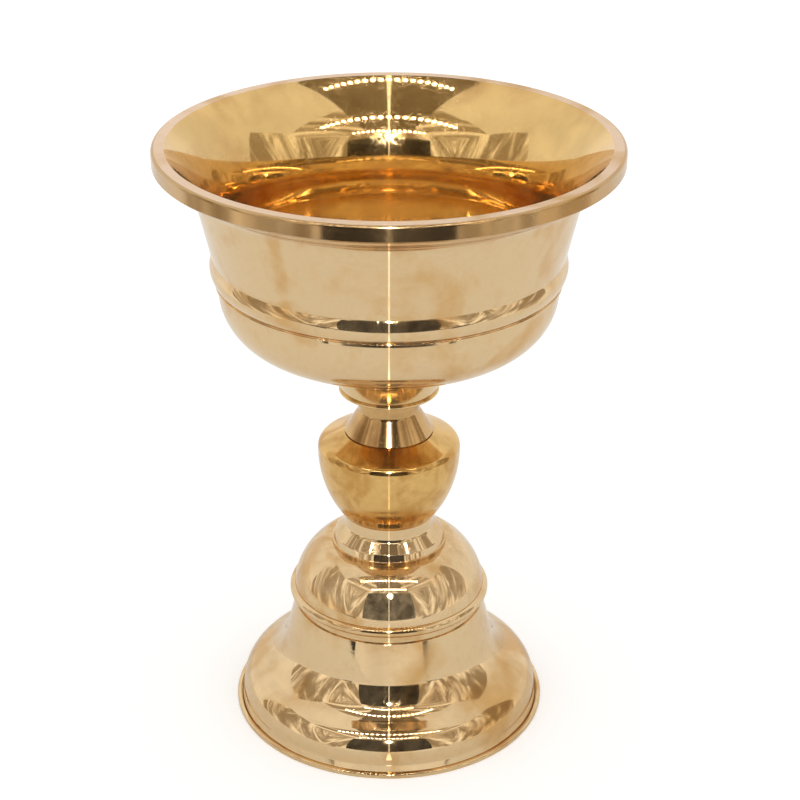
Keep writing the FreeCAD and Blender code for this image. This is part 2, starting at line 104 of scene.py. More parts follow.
@dataclass
class Stretch:
    """A straight or bowed run between two corners of a half-section."""

    start: np.ndarray
    end: np.ndarray
    bow: Optional[float]
    zone: Zone

    def __post_init__(self) -> None:
        """Work out the length of the run and, for a bow, its centre and angles."""
        chord = self.end - self.start
        self.chord = float(np.hypot(*chord))
        if self.bow is None:
            self.length = self.chord
            return
        radius = abs(self.bow)
        side = np.array((-chord[1], chord[0])) / self.chord * math.copysign(1.0, self.bow)
        reach = math.sqrt(radius**2 - (self.chord / 2) ** 2)
        self.centre = (self.start + self.end) / 2 + side * reach
        self.first = math.atan2(*(self.start - self.centre)[::-1])
        self.sweep = 2 * math.asin(self.chord / 2 / radius) * math.copysign(1.0, self.bow)
        self.length = radius * abs(self.sweep)

    def at(self, distance: float) -> tuple[np.ndarray, np.ndarray]:
        """Find a point of the run.

        Args:
            distance: length along the run from its start.

        Returns:
            The point and the direction of travel there.
        """
        share = distance / self.length
        if self.bow is None:
            direction = (self.end - self.start) / self.chord
            return self.start + (self.end - self.start) * share, direction
        angle = self.first + self.sweep * share
        spoke = np.array((math.cos(angle), math.sin(angle)))
        direction = np.array((-spoke[1], spoke[0])) * math.copysign(1.0, self.bow)
        return self.centre + spoke * abs(self.bow), direction

    def steps(self) -> int:
        """Number of flat facets that stand for the run closely enough."""
        if self.bow is None:
            return max(1, math.ceil(self.length / FACET_LENGTH))
        radius = abs(self.bow)
        facet = min(radius * FACET_TURN, math.sqrt(8 * radius * FACET_SAG))
        return max(2, math.ceil(self.length / facet))


@dataclass
class Outline:
    """Half-section of a turned piece, drawn with the metal on the left of the way round."""

    edge: float = 0.00012
    corners: list[Corner] = field(default_factory=list)

    def to(
        self,
        radius: float,
        height: float,
        rounding: Optional[float] = None,
        bow: Optional[float] = None,
        zone: Zone = Zone.MAIN,
    ) -> "Outline":
        """Add a corner.

        Args:
            radius: distance from the axis.
            height: height above the piece's seat.
            rounding: radius of the corner, or None for a lightly broken edge.
            bow: radius of the arc that leads here, turning left if positive.
            zone: finish of the stretch that leads here.

        Returns:
            The outline itself, so that calls can be chained.
        """
        broken = self.edge if rounding is None else rounding
        self.corners.append(Corner(radius, height, broken, bow, zone))
        return self

    def stations(self) -> tuple[np.ndarray, np.ndarray, list[Zone]]:
        """Walk round the section.

        Returns:
            Points as radius and height, outward normals, and the zone of the run after each.
        """
        count = len(self.corners)
        runs = [
            Stretch(
                self.corners[i].point,
                self.corners[(i + 1) % count].point,
                self.corners[(i + 1) % count].bow,
                self.corners[(i + 1) % count].zone,
            )
            for i in range(count)
        ]
        cuts = self._cuts(runs)
        points, travels, zones = [], [], []

        def keep(point: np.ndarray, travel: np.ndarray, zone: Zone) -> None:
            """Store one station."""
            points.append(point)
            travels.append(travel)
            zones.append(zone)

        for i, run in enumerate(runs):
            first, last = cuts[i], run.length - cuts[(i + 1) % count]
            for distance in np.linspace(first, last, run.steps() + 1):
                keep(*run.at(float(distance)), run.zone)
            self._round(run, runs[(i + 1) % count], cuts[(i + 1) % count], keep)
        travel = np.array(travels)
        normals = np.stack((travel[:, 1], -travel[:, 0]), axis=1)
        return np.array(points), normals, zones

    def _cuts(self, runs: list[Stretch]) -> list[float]:
        """Length that each corner's rounding takes from the runs on both sides of it."""
        wanted = []
        for i, corner in enumerate(self.corners):
            turn = self._turn(runs[i - 1].at(runs[i - 1].length)[1], runs[i].at(0.0)[1])
            on_axis = corner.radius < 1e-9
            wanted.append(0.0 if on_axis else corner.rounding * math.tan(abs(turn) / 2))
        room = []
        for i, run in enumerate(runs):
            both = wanted[i] + wanted[(i + 1) % len(runs)]
            room.append(min(1.0, 0.98 * run.length / both) if both > 0 else 1.0)
        return [cut * min(room[i - 1], room[i]) for i, cut in enumerate(wanted)]

    @staticmethod
    def _turn(before: np.ndarray, after: np.ndarray) -> float:
        """Angle turned through at a corner, positive to the left."""
        return math.atan2(before[0] * after[1] - before[1] * after[0], float(before @ after))

    def _round(self, before: Stretch, after: Stretch, cut: float, keep: Keep) -> None:
        """Fill in a corner between two trimmed runs with an arc.

        Args:
            before: run that ends at the corner.
            after: run that starts at the corner.
            cut: length taken from each of them.
            keep: function that stores a station.
        """
        if cut <= 0.0:
            return
        start, way_in = before.at(before.length - cut)
        end, way_out = after.at(cut)
        turn = abs(self._turn(way_in, way_out))
        gap = float(np.hypot(*(end - start)))
        if turn < 0.01 or gap < 1e-7:
            return
        handle = 4 / 3 * math.tan(turn / 4) * gap / (2 * math.sin(turn / 2))
        near, far = start + way_in * handle, end - way_out * handle
        radius = gap / (2 * math.sin(turn / 2))
        facet = min(0.16, math.sqrt(8 * FACET_SAG / radius))
        steps = max(3, math.ceil(turn / facet))
        for k in range(1, steps):
            t = k / steps
            s = 1 - t
            point = s**3 * start + 3 * s * s * t * near + 3 * s * t * t * far + t**3 * end
            slope = s * s * (near - start) + 2 * s * t * (far - near) + t * t * (end - far)
            keep(point, slope / np.hypot(*slope), before.zone)


@dataclass(frozen=True)
class Lathe:
    """Turns a half-section into a closed mesh."""

    segments: int = 256

    def turn(self, name: str, outline: Outline, seat: float) -> bpy.types.Object:
        """Make the mesh of a turned piece.

        Args:
            name: name of the new object.
            outline: its half-section.
            seat: height of the bottom of the section above the floor.

        Returns:
            The new object, linked to the scene.
        """
        points, normals, zones = outline.stations()
        angle = np.arange(self.segments) * (2 * math.pi / self.segments)
        around = np.stack((np.cos(angle), np.sin(angle)), axis=1)
        vertices, vertex_normals, rows = [], [], []
        for (radius, height), (out, up) in zip(points, normals):
            z = height + seat
            if radius < 1e-9:
                rows.append([len(vertices)] * self.segments)
                vertices.append((0.0, 0.0, z))
                vertex_normals.append((0.0, 0.0, math.copysign(1.0, up)))
                continue
            first = len(vertices)
            rows.append(list(range(first, first + self.segments)))
            vertices.extend((radius * c, radius * s, z) for c, s in around)
            vertex_normals.extend((out * c, out * s, up) for c, s in around)
        faces, marks = [], []
        for i, zone in enumerate(zones):
            low, high = rows[i], rows[(i + 1) % len(rows)]
            gap = np.hypot(*(points[(i + 1) % len(points)] - points[i]))
            if gap < 1e-9 or (low[0] == low[1] and high[0] == high[1]):
                continue
            for j in range(self.segments):
                k = (j + 1) % self.segments
                corners = list(dict.fromkeys((low[j], low[k], high[k], high[j])))
                faces.append(corners)
                marks.append(zone.value)
        return mesh_object(name, vertices, faces, vertex_normals, marks)


def mesh_object(
    name: str,
    vertices: Sequence[Sequence[float]],
    faces: Sequence[Sequence[int]],
    normals: Optional[Sequence[Sequence[float]]] = None,
    marks: Optional[Sequence[int]] = None,
) -> bpy.types.Object:
    """Make an object from its vertices and faces.

    Args:
        name: name of the object.
        vertices: positions.
        faces: rings of vertex numbers.
        normals: shading normal of each vertex, or None for flat faces.
        marks: material number of each face.

    Returns:
        The new object, linked to the scene, without vertices that no face uses.
    """
    used = sorted({v for face in faces for v in face})
    place = {old: new for new, old in enumerate(used)}
    mesh = bpy.data.meshes.new(name)
    mesh.from_pydata([vertices[v] for v in used], [], [[place[v] for v in f] for f in faces])
    if marks is not None:
        mesh.polygons.foreach_set("material_index", np.array(marks, dtype=np.int32))
    if normals is not None:
        mesh.polygons.foreach_set("use_smooth", np.ones(len(faces), dtype=bool))
        mesh.update()
        mesh.normals_split_custom_set_from_vertices([normals[v] for v in used])
    mesh.update()
    thing = bpy.data.objects.new(name, mesh)
    bpy.context.scene.collection.objects.link(thing)
    return thing


def inset(before: np.ndarray, corner: np.ndarray, after: np.ndarray, wall: float) -> np.ndarray:
    """Move a corner to the left of the way, so that both its stretches move by one wall.

    Args:
        before: corner before it.
        corner: the corner to move.
        after: corner after it.
        wall: how far the stretches move.

    Returns:
        The moved corner.
    """
    way_in = (corner - before) / np.hypot(*(corner - before))
    way_out = (after - corner) / np.hypot(*(after - corner))
    share = wall / (1 + float(way_in @ way_out))
    both = way_in + way_out
    return corner + np.array((-both[1], both[0])) * share


def seat_of(node: str) -> float:
    """Height of the lowest point of a piece of the model."""
    return float(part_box(node)[0].z)


# ---------------------------------------------------------------- shader graphs


class Graph:
    """Short ways to add nodes to one tree and to join them."""

    def __init__(self, tree: bpy.types.NodeTree) -> None:
        """Take the tree to work in."""
        self.tree = tree

    def add(self, kind: str, **settings: object) -> bpy.types.Node:
        """Add a node and set its properties."""
        node = self.tree.nodes.new(kind)
        for name, value in settings.items():
            setattr(node, name, value)
        return node

    def feed(self, socket: bpy.types.NodeSocket, value: Value) -> None:
        """Join a value to a socket, or set the socket to it."""
        if isinstance(value, bpy.types.NodeSocket):
            self.tree.links.new(value, socket)
        elif socket.type == "RGBA":
            socket.default_value = (*value, 1.0)
        else:
            socket.default_value = value

    def math(self, operation: str, a: Value, b: Value = 0.0) -> bpy.types.NodeSocket:
        """Arithmetic on one or two numbers."""
        node = self.add("ShaderNodeMath", operation=operation)
        self.feed(node.inputs[0], a)
        self.feed(node.inputs[1], b)
        return node.outputs[0]

    def span(
        self, value: Value, low: float, high: float, start: Value = 0.0, end: Value = 1.0
    ) -> bpy.types.NodeSocket:
        """Carry a number smoothly from one range to another, without overshoot."""
        node = self.add("ShaderNodeMapRange", interpolation_type="SMOOTHSTEP")
        for socket, item in zip(node.inputs, (value, low, high, start, end)):
            self.feed(socket, item)
        return node.outputs[0]

    def noise(
        self,
        vector: Value,
        scale: Value,
        detail: float = 2.0,
        roughness: float = 0.5,
        distortion: float = 0.0,
    ) -> bpy.types.NodeSocket:
        """Smooth noise from 0 to 1 at a point."""
        node = self.add("ShaderNodeTexNoise")
        self.feed(node.inputs["Vector"], vector)
        self.feed(node.inputs["Scale"], scale)
        node.inputs["Detail"].default_value = detail
        node.inputs["Roughness"].default_value = roughness
        node.inputs["Distortion"].default_value = distortion
        return node.outputs["Fac"]

    def blend(self, share: Value, first: Value, second: Value) -> bpy.types.NodeSocket:
        """Blend two colours."""
        node = self.add("ShaderNodeMix", data_type="RGBA")
        self.feed(node.inputs[0], share)
        self.feed(node.inputs[6], first)
        self.feed(node.inputs[7], second)
        return node.outputs[2]

    def place(self) -> bpy.types.NodeSocket:
        """Point on the piece, in metres."""
        return self.add("ShaderNodeTexCoord").outputs["Object"]

    def split(self, vector: Value) -> tuple[bpy.types.NodeSocket, ...]:
        """Three coordinates of a vector."""
        node = self.add("ShaderNodeSeparateXYZ")
        self.feed(node.inputs[0], vector)
        return tuple(node.outputs)

    def join(self, x: Value, y: Value, z: Value) -> bpy.types.NodeSocket:
        """Vector of three coordinates."""
        node = self.add("ShaderNodeCombineXYZ")
        for socket, item in zip(node.inputs, (x, y, z)):
            self.feed(socket, item)
        return node.outputs[0]

    def effect(self, group: bpy.types.NodeTree, **values: Value) -> bpy.types.Node:
        """Place a node group and feed its inputs by name, with _ for a space."""
        node = self.add("ShaderNodeGroup", node_tree=group)
        for name, value in values.items():
            self.feed(node.inputs[name.replace("_", " ")], value)
        return node


@dataclass(frozen=True)
class Port:
    """A named input or output of a node group."""

    name: str
    kind: str = "NodeSocketFloat"
    value: Optional[float] = None


def new_group(name: str, inputs: Sequence[Port], outputs: Sequence[Port]) -> tuple:
    """Start a node group.

    Args:
        name: name of the group.
        inputs: its input ports.
        outputs: its output ports.

    Returns:
        The group, a graph to work in it, its input node and its output node.
    """
    group = bpy.data.node_groups.new(name, "ShaderNodeTree")
    for port in inputs:
        socket = group.interface.new_socket(port.name, in_out="INPUT", socket_type=port.kind)
        if port.value is not None:
            socket.default_value = port.value
    for port in outputs:
        group.interface.new_socket(port.name, in_out="OUTPUT", socket_type=port.kind)
    graph = Graph(group)
    return group, graph, graph.add("NodeGroupInput"), graph.add("NodeGroupOutput")


class Effects:
    """Surface effects that several finishes share, each a node group built once."""

    def __init__(self) -> None:
        """Build the groups."""
        self.turning = self._turning()
        self.smudges = self._smudges()
        self.scratches = self._scratches()
        self.tone = self._tone()

    @staticmethod
    def _turning() -> bpy.types.NodeTree:
        """Fine rings that the tool leaves, which run round the axis."""
        group, graph, inner, outer = new_group(
            "turning_marks",
            [Port("Spacing", value=0.0004), Port("Drift", value=0.02)],
            [Port("Height"), Port("Rings")],
        )
        x, y, z = graph.split(graph.place())
        squares = graph.math("ADD", graph.math("MULTIPLY", x, x), graph.math("MULTIPLY", y, y))
        across = graph.math("SQRT", squares)
        pitch = graph.math("DIVIDE", 1.0, inner.outputs["Spacing"])
        aside = graph.math("ADD", x, graph.math("MULTIPLY", y, 0.7))
        drift = graph.math("MULTIPLY", graph.math("MULTIPLY", aside, pitch), inner.outputs["Drift"])
        section = graph.join(
            graph.math("MULTIPLY", across, pitch), graph.math("MULTIPLY", z, pitch), drift
        )
        fine = graph.noise(section, 1.0, 3.0, 0.65)
        broad = graph.noise(section, 0.17, 2.0, 0.5)
        ring = graph.span(fine, 0.58, 0.74)
        height = graph.math(
            "ADD", graph.math("MULTIPLY", fine, 0.7), graph.math("MULTIPLY", broad, 1.4)
        )
        graph.feed(outer.inputs["Height"], height)
        graph.feed(outer.inputs["Rings"], ring)
        return group

    @staticmethod
    def _smudges() -> bpy.types.NodeTree:
        """Soft patches where hands and air have dulled the metal."""
        group, graph, inner, outer = new_group(
            "dull_patches",
            [Port("Size", value=0.02), Port("Cover", value=0.4)],
            [Port("Patches"), Port("Mottle")],
        )
        scale = graph.math("DIVIDE", 1.0, inner.outputs["Size"])
        place = graph.place()
        broad = graph.noise(place, scale, 2.0, 0.5, 0.9)
        fine = graph.noise(place, graph.math("MULTIPLY", scale, 4.0), 4.0, 0.6, 0.3)
        mixed = graph.math(
            "ADD", graph.math("MULTIPLY", broad, 0.85), graph.math("MULTIPLY", fine, 0.15)
        )
        over = graph.math("ADD", mixed, graph.math("MULTIPLY", inner.outputs["Cover"], 0.4))
        graph.feed(outer.inputs["Patches"], graph.span(over, 0.60, 0.84))
        graph.feed(outer.inputs["Mottle"], fine)
        return group

    @staticmethod
    def _scratches() -> bpy.types.NodeTree:
        """Hair-fine curling scratches from wiping."""
        group, graph, inner, outer = new_group(
            "wiping_scratches",
            [Port("Size", value=0.01), Port("Cover", value=0.5)],
            [Port("Hairs")],
        )
        scale = graph.math("DIVIDE", 1.0, inner.outputs["Size"])
        place = graph.place()
        hairs: Value = 0.0
        for turn, stretch in ((1.0, 1.0), (1.7, 0.6), (2.6, 1.3)):
            field_ = graph.noise(place, graph.math("MULTIPLY", scale, turn), 1.0, 0.3, stretch)
            near = graph.math("ABSOLUTE", graph.math("SUBTRACT", field_, 0.5))
            hairs = graph.math("MAXIMUM", hairs, graph.span(near, 0.0, 0.006, 1.0, 0.0))
        broken = graph.noise(place, graph.math("MULTIPLY", scale, 2.2), 2.0, 0.5)
        cover = graph.math("SUBTRACT", 1.0, inner.outputs["Cover"])
        gate = graph.span(graph.math("SUBTRACT", broken, graph.math("MULTIPLY", cover, 0.3)), 0.25, 0.4)
        graph.feed(outer.inputs["Hairs"], graph.math("MULTIPLY", hairs, gate))
        return group

    @staticmethod
    def _tone() -> bpy.types.NodeTree:
        """Colour of brass, from clean to dulled, with a slight change along the rings."""
        colour = "NodeSocketColor"
        group, graph, inner, outer = new_group(
            "brass_tone",
            [Port("Clean", colour), Port("Dulled", colour), Port("Patches"), Port("Mottle"), Port("Rings")],
            [Port("Tone", colour)],
        )
        dulled = graph.blend(inner.outputs["Patches"], inner.outputs["Clean"], inner.outputs["Dulled"])
        fleck = graph.span(inner.outputs["Mottle"], 0.45, 0.8, 0.0, 0.25)
        mottled = graph.blend(fleck, dulled, inner.outputs["Dulled"])
        lined = graph.blend(inner.outputs["Rings"], mottled, inner.outputs["Dulled"])
        graph.feed(outer.inputs["Tone"], lined)
        return group


# ---------------------------------------------------------------- finishes


@dataclass(frozen=True)
class BrassFinish:
    """Turned brass, from mirror polish to a brushed band."""

    name: str
    clean: Colour = (0.75, 0.55, 0.31)
    dulled: Colour = (0.62, 0.37, 0.14)
    roughness: float = 0.06
    dull_roughness: float = 0.10
    anisotropy: float = 0.6
    ring_spacing: float = 0.0003
    ring_depth: float = 1.2e-6
    ring_tone: float = 0.12
    patch_size: float = 0.03
    patch_cover: float = 0.3
    hair_size: float = 0.012
    hair_cover: float = 0.3
    hair_depth: float = 2.0e-6
    film: float = 0.08

    def material(self, effects: Effects) -> bpy.types.Material:
        """Build the material.

        Args:
            effects: node groups to use.

        Returns:
            The new material.
        """
        material = bpy.data.materials.new(self.name)
        material.use_nodes = True
        tree = material.node_tree
        tree.nodes.clear()
        graph = Graph(tree)
        output = graph.add("ShaderNodeOutputMaterial")
        shader = graph.add("ShaderNodeBsdfPrincipled")
        rings = graph.effect(effects.turning, Spacing=self.ring_spacing)
        patches = graph.effect(effects.smudges, Size=self.patch_size, Cover=self.patch_cover)
        hairs = graph.effect(effects.scratches, Size=self.hair_size, Cover=self.hair_cover)
        tone = graph.effect(
            effects.tone,
            Clean=self.clean,
            Dulled=self.dulled,
            Patches=patches.outputs["Patches"],
            Mottle=patches.outputs["Mottle"],
            Rings=graph.math("MULTIPLY", rings.outputs["Rings"], self.ring_tone),
        )
        spread = self.dull_roughness - self.roughness
        rough = graph.math("MULTIPLY_ADD", patches.outputs["Patches"], spread)
        rough.node.inputs[2].default_value = self.roughness
        rough = graph.math("ADD", rough, graph.math("MULTIPLY", hairs.outputs["Hairs"], 0.12))
        rough = graph.math("ADD", rough, graph.math("MULTIPLY", rings.outputs["Rings"], self.roughness * 0.4))
        turned = graph.add("ShaderNodeBump")
        turned.inputs["Strength"].default_value = 1.0
        turned.inputs["Distance"].default_value = self.ring_depth
        graph.feed(turned.inputs["Height"], rings.outputs["Height"])
        scratched = graph.add("ShaderNodeBump", invert=True)
        scratched.inputs["Strength"].default_value = 1.0
        scratched.inputs["Distance"].default_value = self.hair_depth
        graph.feed(scratched.inputs["Height"], hairs.outputs["Hairs"])
        graph.feed(scratched.inputs["Normal"], turned.outputs["Normal"])
        tangent = graph.add("ShaderNodeTangent", direction_type="RADIAL", axis="Z")
        graph.feed(shader.inputs["Base Color"], tone.outputs["Tone"])
        bare, filmed = 1.0 - self.film * 0.4, 1.0 - self.film * 1.6
        graph.feed(shader.inputs["Metallic"], graph.span(patches.outputs["Mottle"], 0.3, 0.7, bare, filmed))
        graph.feed(shader.inputs["Roughness"], rough)
        shader.inputs["Anisotropic"].default_value = self.anisotropy
        shader.inputs["Anisotropic Rotation"].default_value = 0.25
        graph.feed(shader.inputs["Tangent"], tangent.outputs["Tangent"])
        graph.feed(shader.inputs["Normal"], scratched.outputs["Normal"])
        graph.feed(output.inputs["Surface"], shader.outputs["BSDF"])
        return material


@dataclass(frozen=True)
class SteelFinish:
    """Zinc-plated steel of the rod, washers and nut."""

    name: str = "zinc_plated_steel"
    colour: Colour = (0.62, 0.61, 0.58)
    stained: Colour = (0.36, 0.33, 0.28)
    roughness: float = 0.28

    def material(self, effects: Effects) -> bpy.types.Material:
        """Build the material.

        Args:
            effects: node groups to use.

        Returns:
            The new material.
        """
        material = bpy.data.materials.new(self.name)
        material.use_nodes = True
        material.node_tree.nodes.clear()
        graph = Graph(material.node_tree)
        output = graph.add("ShaderNodeOutputMaterial")
        shader = graph.add("ShaderNodeBsdfPrincipled")
        patches = graph.effect(effects.smudges, Size=0.004, Cover=0.45)
        rings = graph.effect(effects.turning, Spacing=0.00025)
        bump = graph.add("ShaderNodeBump")
        bump.inputs["Strength"].default_value = 1.0
        bump.inputs["Distance"].default_value = 3.0e-6
        height = graph.math("ADD", rings.outputs["Height"], patches.outputs["Mottle"])
        graph.feed(bump.inputs["Height"], height)
        share = graph.math("MULTIPLY", patches.outputs["Patches"], 0.6)
        graph.feed(shader.inputs["Base Color"], graph.blend(share, self.colour, self.stained))
        shader.inputs["Metallic"].default_value = 1.0
        rough = graph.span(
            patches.outputs["Mottle"], 0.3, 0.8, self.roughness, self.roughness + 0.2
        )
        graph.feed(shader.inputs["Roughness"], rough)
        graph.feed(shader.inputs["Normal"], bump.outputs["Normal"])
        graph.feed(output.inputs["Surface"], shader.outputs["BSDF"])
        return material


@dataclass(frozen=True)
class FibreFinish:
    """Pressed red-brown fibre of the thin washer under the bowl."""

    name: str = "pressed_fibre"
    colour: Colour = (0.16, 0.06, 0.03)
    fleck: Colour = (0.30, 0.14, 0.07)

    def material(self, effects: Effects) -> bpy.types.Material:
        """Build the material.

        Args:
            effects: node groups to use.

        Returns:
            The new material.
        """
        material = bpy.data.materials.new(self.name)
        material.use_nodes = True
        material.node_tree.nodes.clear()
        graph = Graph(material.node_tree)
        output = graph.add("ShaderNodeOutputMaterial")
        shader = graph.add("ShaderNodeBsdfPrincipled")
        patches = graph.effect(effects.smudges, Size=0.0015, Cover=0.5)
        bump = graph.add("ShaderNodeBump")
        bump.inputs["Strength"].default_value = 1.0
        bump.inputs["Distance"].default_value = 2.0e-5
        graph.feed(bump.inputs["Height"], patches.outputs["Mottle"])
        graph.feed(shader.inputs["Base Color"], graph.blend(patches.outputs["Mottle"], self.colour, self.fleck))
        graph.feed(shader.inputs["Roughness"], graph.span(patches.outputs["Mottle"], 0.2, 0.8, 0.6, 0.85))
        graph.feed(shader.inputs["Normal"], bump.outputs["Normal"])
        graph.feed(output.inputs["Surface"], shader.outputs["BSDF"])
        return material


class Finishes:
    """Every material of the object, built once."""

    def __init__(self) -> None:
        """Build the shared effects and the materials."""
        effects = Effects()
        self.bowl_outside = BrassFinish(
            "bowl_outside_brass",
            dulled=(0.66, 0.40, 0.16),
            patch_size=0.022,
            patch_cover=0.36,
            dull_roughness=0.12,
            roughness=0.045,
        ).material(effects)
        # Painted light: the deeper orange base colour inside the bowl stands for light bounced between its
        # walls.
        self.bowl_inside = BrassFinish(
            "bowl_inside_brass",
            clean=(0.77, 0.52, 0.21),
            patch_size=0.03,
            patch_cover=0.3,
            hair_size=0.006,
            hair_cover=0.8,
            roughness=0.045,
            film=0.08,
        ).material(effects)
        # Painted shade: the band's darker base colour stands for the dark it mirrors past the front of the
        # tent; its higher roughness is the brushed finish.
        self.rim_band = BrassFinish(
            "rim_band_brass",
            clean=(0.56, 0.37, 0.18),
            film=0.03,
            roughness=0.16,
            dull_roughness=0.3,
            ring_depth=2.5e-6,
            anisotropy=0.8,
        ).material(effects)
        self.rim_lip = BrassFinish(
            "rim_lip_brass",
            clean=(0.78, 0.56, 0.38),
            roughness=0.3,
            dull_roughness=0.36,
            ring_depth=4e-6,
        ).material(effects)
        self.foot = BrassFinish(
            "foot_brass", patch_size=0.024, patch_cover=0.34, roughness=0.03
        ).material(effects)
        self.dome = BrassFinish(
            "dome_brass", patch_size=0.016, patch_cover=0.4, roughness=0.04, film=0.2
        ).material(effects)
        self.neck = BrassFinish(
            "neck_brass",
            clean=(0.66, 0.42, 0.18),
            dulled=(0.36, 0.19, 0.07),
            film=0.06,
            ring_tone=0.8,
            roughness=0.14,
            dull_roughness=0.18,
            ring_depth=5e-6,
            ring_spacing=0.00035,
        ).material(effects)
        self.knop = BrassFinish(
            "knop_brass",
            clean=(0.74, 0.47, 0.17),
            dulled=(0.58, 0.32, 0.09),
            patch_size=0.010,
            patch_cover=0.42,
            ring_tone=0.25,
            film=0.06,
            roughness=0.1,
            dull_roughness=0.16,
        ).material(effects)
        self.calyx = BrassFinish(
            "calyx_brass", clean=(0.76, 0.54, 0.26), roughness=0.07, patch_cover=0.2
        ).material(effects)
        self.rough_turned = BrassFinish(
            "rough_turned_brass",
            clean=(0.78, 0.58, 0.30),
            dulled=(0.48, 0.32, 0.15),
            roughness=0.32,
            dull_roughness=0.5,
            ring_spacing=0.0009,
            ring_depth=2.2e-5,
            patch_size=0.02,
            patch_cover=0.6,
        ).material(effects)
        self.steel = SteelFinish().material(effects)
        self.fibre = FibreFinish().material(effects)


# ---------------------------------------------------------------- sub-assemblies


@dataclass
class Assembly:
    """What every sub-assembly needs: the finishes and ways to place a piece."""

    finishes: Finishes

    def place(
        self,
        piece: bpy.types.Object,
        node: str,
        body: Body,
        slot: str,
        materials: Sequence[bpy.types.Material],
    ) -> bpy.types.Object:
        """Dress a piece and put it where the model has the same piece.

        Args:
            piece: the new object.
            node: name of the model's piece that it stands for.
            body: body that it rides on.
            slot: not used.
            materials: its materials, in the order of the zones.

        Returns:
            The piece.
        """
        for material in materials:
            piece.data.materials.append(material)
        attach(piece, body.value)
        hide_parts(node)
        log.info("%s: %d faces, rides on %s", piece.name, len(piece.data.polygons), body.value)
        return piece

    def dress(self, node: str, material: bpy.types.Material) -> None:
        """Give a piece of the model a finish of its own."""
        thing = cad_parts[node]
        thing.data.materials.clear()
        thing.data.materials.append(material)
        log.info("%s: model's own shape, %s", node, material.name)


